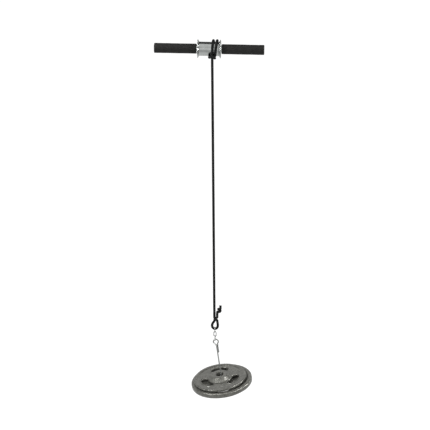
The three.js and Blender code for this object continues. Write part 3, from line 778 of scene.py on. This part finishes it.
def rod_route():
    """From the lower end up to the eye, round it, and down again beside the shank."""
    radius = EYE_INNER_R + ROD_R
    neck = radius + EYE_NECK
    beside = (2 * ROD_R + 2 * SEAT) / math.sqrt(2)
    route = [(0, 0, ROD_END), (0, 0, ROD_END / 2), (0, 0, -neck - EYE_NECK), (-ROD_R / 4, 0, -neck)]
    for i in range(EYE_SPANS + 1):
        angle = -math.pi / 2 - EYE_OPENING - 2 * (math.pi - EYE_OPENING) * i / EYE_SPANS
        route.append((radius * math.cos(angle), 0, radius * math.sin(angle)))
    return route + [(beside * 1.25, beside / 2, -neck), (beside, beside, -neck - EYE_NECK),
                    (beside, beside, -neck - EYE_TAIL)]


def hanger_wire():
    pts = smooth_line(rod_route(), ROD_STEP)
    length = line_length(pts)

    def radius(along, around):
        out = ROD_R
        if along < THREAD_LENGTH:
            wave = abs(((along / THREAD_PITCH + around) % 1) * 2 - 1)
            out = ROD_R - THREAD_INSET - THREAD_DEPTH * wave
        from_end = min(along, length - along)
        return out - TIP_CUT * max(0, 1 - from_end / TIP_LENGTH)

    return tube("hanger_wire", pts, radius, ZINC, ROD_SIDES)


def foot_plate():
    bottom = FOOT_TOP - FOOT_THICKNESS
    outline = ring_outline(ROD_R + SEAT, FOOT_R, bottom, FOOT_TOP, bore_edge=0.2, rim_edge=1.2)
    return lathe("foot_plate", rounded(outline), ZINC, sides=96, axis="z")


def hex_nut():
    """A chamfered nut: a round blank cut by six flats."""
    apothem, corner = NUT_ACROSS / 2, NUT_ACROSS / math.sqrt(3)
    angles = [TURN * k / NUT_SIDES for k in range(NUT_SIDES)]
    rings = [[(NUT_BORE_R, angle, NUT_TOP - NUT_HEIGHT) for angle in angles]]
    for share, cut in NUT_RINGS:
        ring = []
        for angle in angles:
            flat = apothem / math.cos(((angle + math.pi / 6) % (math.pi / 3)) - math.pi / 6)
            ring.append((min(flat, corner - cut), angle, NUT_TOP - NUT_HEIGHT * (1 - share)))
        rings.append(ring)
    rings.append([(NUT_BORE_R, angle, NUT_TOP) for angle in angles])
    verts = [metres(r * math.cos(angle), r * math.sin(angle), z) for ring in rings for r, angle, z in ring]
    obj = add_mesh("hex_nut", verts, band_faces(len(rings), NUT_SIDES, True), ZINC, sharp=30)
    face_outward(obj)
    return obj


for make, node in ((hanger_wire, "hanger_rod"), (foot_plate, "foot_disc"), (hex_nut, "foot_nut")):
    obj = make()
    obj.data.transform(HANG)
    finish_piece(obj, "hanger", node)


# Weight plates: cast rounds with rim, web, hub and lipped finger slots

SLOT_COUNT, SLOT_SPANS = 3, 16
LIP_WIDTH, LIP_HEIGHT, LIP_SINK = 6, 2, 0.2
MOUTH_DEPTH, MOUTH_GROWTH = 3, 6
WEB_SLOPE = 5.0
PLATE_SIDES, PLATE_VOXEL = 192, 1.1
SMOOTH_PASSES, KEPT_SHARE = 5, 0.4


def on_circle(radius, angle, x=0, y=0):
    return (x + radius * math.cos(angle), y + radius * math.sin(angle))


def slot_outline(plate, margin):
    """A slot that follows a circle about the plate's middle, with round ends, grown by a margin."""
    radius, half = plate["slot_radius"], plate["slot_width"] / 2 + margin
    reach = (plate["slot_length"] - plate["slot_width"]) / 2 / radius
    x, y = on_circle(radius, reach)
    sweeps = [reach * (2 * i / SLOT_SPANS - 1) for i in range(SLOT_SPANS + 1)]
    bends = [math.pi * i / SLOT_SPANS for i in range(1, SLOT_SPANS)]
    return ([on_circle(radius + half, sweep) for sweep in sweeps]
            + [on_circle(half, reach + bend, x, y) for bend in bends]
            + [on_circle(radius - half, sweep) for sweep in reversed(sweeps)]
            + [on_circle(half, math.pi - reach + bend, x, -y) for bend in bends])


def loft(name, sections, turn):
    """A closed solid through outlines of equal count at rising heights, turned about Z."""
    cos, sin = math.cos(turn), math.sin(turn)
    verts = [metres(x * cos - y * sin, x * sin + y * cos, z) for outline, z in sections for x, y in outline]
    count = len(sections[0][0])
    faces = band_faces(len(sections), count, False)
    faces.append(tuple(reversed(range(count))))
    faces.append(tuple((len(sections) - 1) * count + k for k in range(count)))
    obj = add_mesh(name, verts, faces, sharp=None)
    face_outward(obj)
    return obj


def applied(obj):
    """Replaces an object's mesh by the result of its modifiers."""
    bpy.context.view_layer.update()
    graph = bpy.context.evaluated_depsgraph_get()
    mesh = bpy.data.meshes.new_from_object(obj.evaluated_get(graph))
    old = obj.data
    obj.modifiers.clear()
    obj.data = mesh
    bpy.data.meshes.remove(old)


def plate_outline(plate):
    rim, half, web, hub = plate["diameter"] / 2, plate["rim"] / 2, plate["web"] / 2, plate["hub"] / 2
    inner = rim - plate["rim_width"]
    return [
        (HOLE_R, -plate["hub_back"], 1.5), (hub, -plate["hub_back"], 2.2),
        (hub + WEB_SLOPE / 2, -web, 3.5), (inner - WEB_SLOPE, -web, 4),
        (inner, -half, 2.2), (rim, -half, plate["round"]), (rim, half, plate["round"]), (inner, half, 2.2),
        (inner - WEB_SLOPE, web, 4), (hub + plate["hub_slope"], web, 6),
        (hub - WEB_SLOPE / 4, plate["hub_front"], 3), (HOLE_R, plate["hub_front"], 1.5),
    ]


def cut_slots(obj, plate):
    """Adds the slots' raised lips and cuts the slots through, wider at both faces."""
    web = plate["web"] / 2
    lip = web + LIP_HEIGHT
    lip_sections = [(LIP_WIDTH - LIP_HEIGHT, -lip), (LIP_WIDTH, -web + LIP_SINK),
                    (LIP_WIDTH, web - LIP_SINK), (LIP_WIDTH - LIP_HEIGHT, lip)]
    slot_sections = [(MOUTH_GROWTH, -lip - MOUTH_DEPTH), (0, -lip + MOUTH_DEPTH),
                     (0, lip - MOUTH_DEPTH), (MOUTH_GROWTH, lip + MOUTH_DEPTH)]
    for i in range(SLOT_COUNT):
        turn = plate["turn"] + TURN * i / SLOT_COUNT
        for operation, sections in (("UNION", lip_sections), ("DIFFERENCE", slot_sections)):
            tool = loft("tool", [(slot_outline(plate, margin), z) for margin, z in sections], turn)
            cut = obj.modifiers.new("cut", "BOOLEAN")
            cut.operation, cut.solver, cut.object = operation, "EXACT", tool
            applied(obj)
            bpy.data.objects.remove(tool)


def soften(obj):
    """Rounds all edges as a casting's are, roughens it a little and thins its mesh."""
    remesh = obj.modifiers.new("remesh", "REMESH")
    remesh.mode, remesh.voxel_size, remesh.use_smooth_shade = "VOXEL", PLATE_VOXEL * MM, True
    smooth = obj.modifiers.new("smooth", "SMOOTH")
    smooth.factor, smooth.iterations = 0.5, SMOOTH_PASSES
    applied(obj)
    wobble(obj, amount=0.22, scale=34)
    wobble(obj, amount=0.10, scale=120)
    thin = obj.modifiers.new("thin", "DECIMATE")
    thin.ratio = KEPT_SHARE
    applied(obj)


def cast_plate(name, plate, height):
    obj = lathe(name, rounded(plate_outline(plate), steps=6), None, PLATE_SIDES, "z")
    cut_slots(obj, plate)
    soften(obj)
    obj.data.materials.clear()
    obj.data.materials.append(IRON)
    obj.data.transform(HANG @ Matrix.Translation(Vector((*plate["shift"], height)) * MM))
    obj.data.shade_smooth()
    return obj


small_rise = LARGE["hub_front"] + SEAT + SMALL["hub_back"]
finish_piece(cast_plate("large_cast_plate", LARGE, -PLATE_DROP), "plate_1", "large_plate")
finish_piece(cast_plate("small_cast_plate", SMALL, small_rise - PLATE_DROP), "plate_2", "small_plate")


# Floor and background: white in the picture, and unseen by the part's own reflections and shading

FLOOR_HALF_M, FLOOR_Z_M, FLOOR_GREY, FLOOR_GLOW = 30, -1.75, 0.12, 0.92
WALL_HALF_M, WALL_BOTTOM_M, WALL_TOP_M = 29, -1.8, 24


def plain_material(name, value, glow=0.0, rough=0.5):
    mat, _, shader = new_material(name)
    shader.inputs["Base Color"].default_value = (value, value, value, 1)
    shader.inputs["Roughness"].default_value = rough
    shader.inputs["Emission Color"].default_value = (1, 1, 1, 1)
    shader.inputs["Emission Strength"].default_value = glow
    return mat


def square(half, z):
    return [(-half, -half, z), (half, -half, z), (half, half, z), (-half, half, z)]


floor = add_mesh("floor", square(FLOOR_HALF_M, FLOOR_Z_M), [(0, 1, 2, 3)],
                 plain_material("floor", FLOOR_GREY, FLOOR_GLOW, rough=0.9), sharp=None)
box_faces = [(0, 1, 5, 4), (1, 2, 6, 5), (2, 3, 7, 6), (3, 0, 4, 7), (4, 5, 6, 7)]
box_corners = square(WALL_HALF_M, WALL_BOTTOM_M) + square(WALL_HALF_M, WALL_TOP_M)
backdrop = add_mesh("backdrop", box_corners, box_faces, plain_material("backdrop", 0, glow=1.0), sharp=None)
backdrop.visible_shadow = False
for piece in (floor, backdrop):
    piece.visible_diffuse = False
    piece.visible_glossy = False


# Light: six area lights, a dark card that the chrome reflects, and a sky that is darkest at eye level

# Name, place, aimed at, width (all in metres) and watts
LIGHTS = [
    ("left_top", (-1.1, 0.0, 1.2), (0, 0, -1.3), 0.5, 20),
    ("right_top", (2.0, 0.0, 1.3), (0, 0, -1.3), 0.5, 15),
    ("left_glint", (-1.96, -1.67, 0.15), (0, 0, -1.35), 0.6, 36),
    ("right_glint", (2.23, -1.38, 0.15), (0, 0, -1.35), 0.6, 32),
    ("right_low", (2.8, 0.45, -0.3), (0, 0, -1.35), 0.5, 34),
    ("front", (-0.8, -4.0, 0.9), (0, 0, -0.6), 2.6, 10),
]
CARD_HALF_M, CARD_GREY = 4, 0.01
# The card's edges from low to high, back and up from the bar
CARD_EDGES_M = [(2.4, 0.7), (2.4, 1.6), (0.9, 3.4)]
SKY_LEVEL, SKY_RISE = 0.38, 0.6


def area_light(name, at, target, size, power):
    data = bpy.data.lights.new(name, "AREA")
    data.energy = power
    data.size = size
    obj = bpy.data.objects.new(name, data)
    scene.collection.objects.link(obj)
    obj.location = at
    obj.rotation_euler = (Vector(target) - Vector(at)).to_track_quat("-Z", "Y").to_euler()


def dark_card():
    verts = [(x, y, z) for y, z in CARD_EDGES_M for x in (-CARD_HALF_M, CARD_HALF_M)]
    card = add_mesh("dark_card", verts, [(0, 1, 3, 2), (2, 3, 5, 4)], plain_material("dark_card", CARD_GREY),
                    sharp=None)
    card.visible_camera = False
    card.visible_diffuse = False
    card.visible_shadow = False


def studio_sky():
    world = bpy.data.worlds.new("studio")
    world.use_nodes = True
    tree = world.node_tree
    split = tree.nodes.new("ShaderNodeSeparateXYZ")
    tree.links.new(tree.nodes.new("ShaderNodeTexCoord").outputs["Generated"], split.inputs["Vector"])
    off_level = math_node(tree, "MULTIPLY", math_node(tree, "ABSOLUTE", split.outputs["Z"]), SKY_RISE)
    strength = math_node(tree, "ADD", off_level, SKY_LEVEL)
    tree.links.new(strength, tree.nodes["Background"].inputs["Strength"])
    tree.nodes["Background"].inputs["Color"].default_value = (1, 1, 1, 1)
    scene.world = world


for light in LIGHTS:
    area_light(*light)
dark_card()
studio_sky()
scene.view_settings.view_transform = "Standard"
